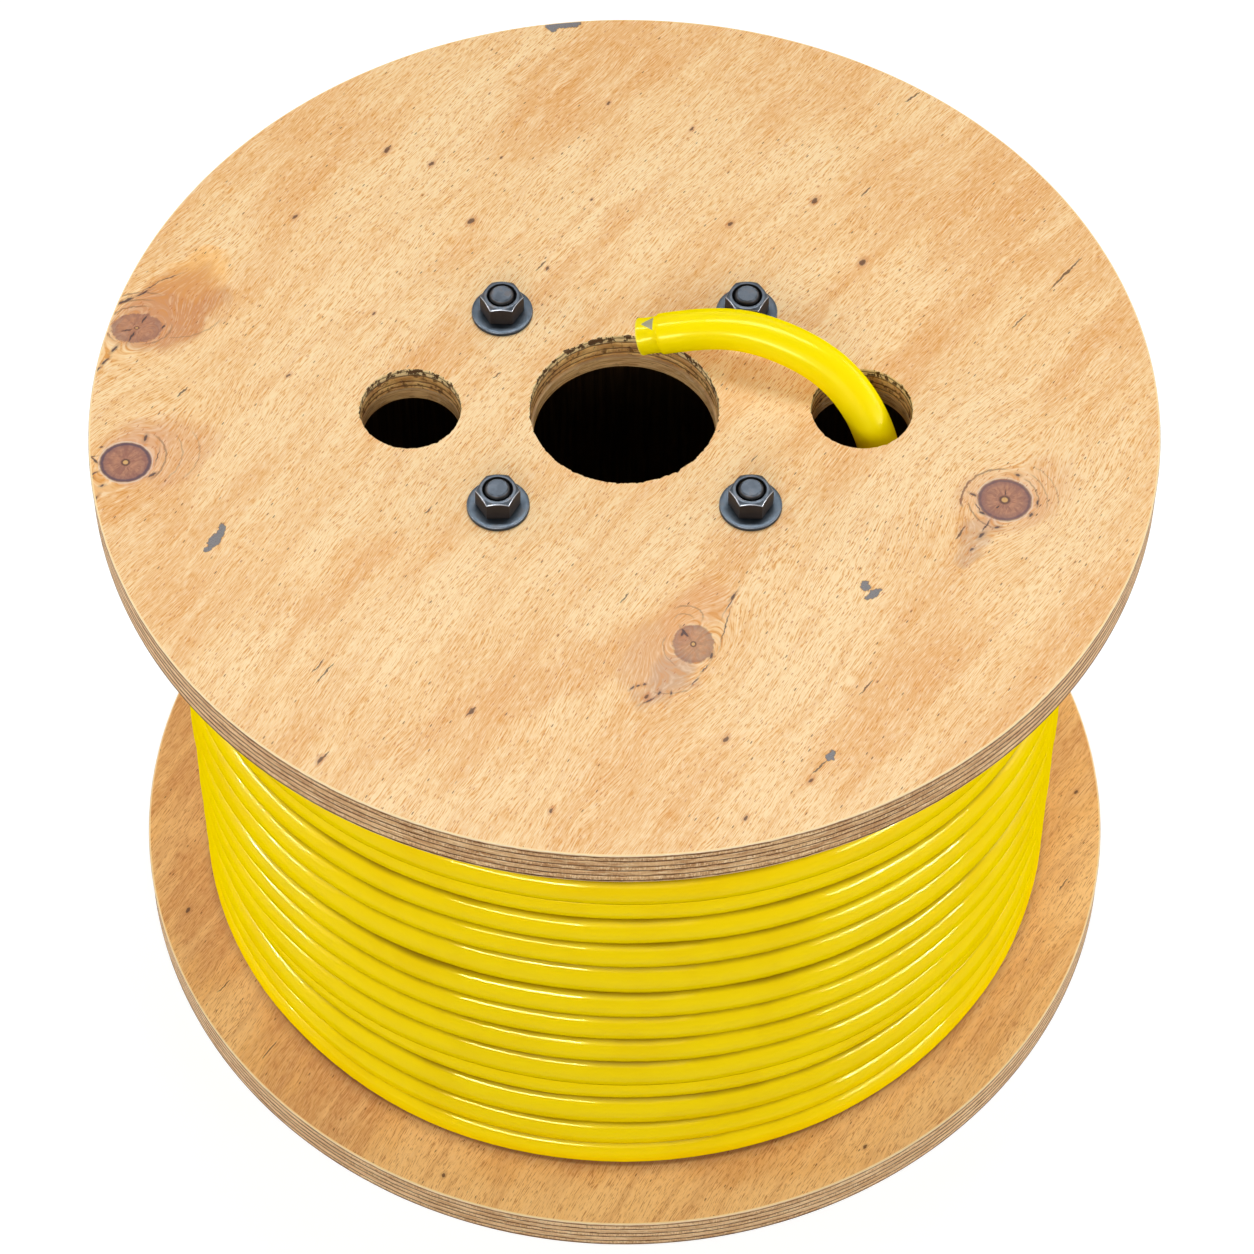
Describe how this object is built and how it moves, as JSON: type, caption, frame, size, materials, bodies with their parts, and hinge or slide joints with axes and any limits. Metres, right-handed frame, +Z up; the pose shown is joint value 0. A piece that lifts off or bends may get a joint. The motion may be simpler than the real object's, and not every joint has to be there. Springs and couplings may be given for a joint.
{
  "type": "cable reel",
  "caption": "Plywood cable drum standing on its flange, wound full with smooth yellow cable whose capped inner end comes out of the upper flange.",
  "frame": {"origin": "on the drum's axis, at the underside of the flange it stands on", "axes": "+Z up along the drum's axis; +X towards the hole that the cable's inner end comes out of; -Y towards the viewer"},
  "size_m": [0.4999, 0.5, 0.3838],
  "materials": {
    "flange_plywood": "sanded softwood plywood, unfinished",
    "disc_plywood": "plain plywood",
    "barrel_plywood": "plain bent plywood",
    "cable_sheath": "glossy yellow sheath",
    "end_cap_plastic": "glossy",
    "blackened_steel": "black oxide"
  },
  "bodies": {
    "root": {"flange_bottom": "flange_plywood", "flange_top": "flange_plywood", "locating_disc_bottom": "disc_plywood", "locating_disc_top": "disc_plywood", "barrel": "barrel_plywood", "cable_coil": "cable_sheath", "cable_tail": "cable_sheath", "cable_end_cap": "end_cap_plastic", "tie_bolt_1": "blackened_steel", "tie_bolt_2": "blackened_steel", "tie_bolt_3": "blackened_steel", "tie_bolt_4": "blackened_steel", "nut_1": "blackened_steel", "nut_2": "blackened_steel", "nut_3": "blackened_steel", "nut_4": "blackened_steel", "washer_top_1": "blackened_steel", "washer_top_2": "blackened_steel", "washer_top_3": "blackened_steel", "washer_top_4": "blackened_steel", "washer_bottom_1": "blackened_steel", "washer_bottom_2": "blackened_steel", "washer_bottom_3": "blackened_steel", "washer_bottom_4": "blackened_steel"}
  },
  "joints": []
}
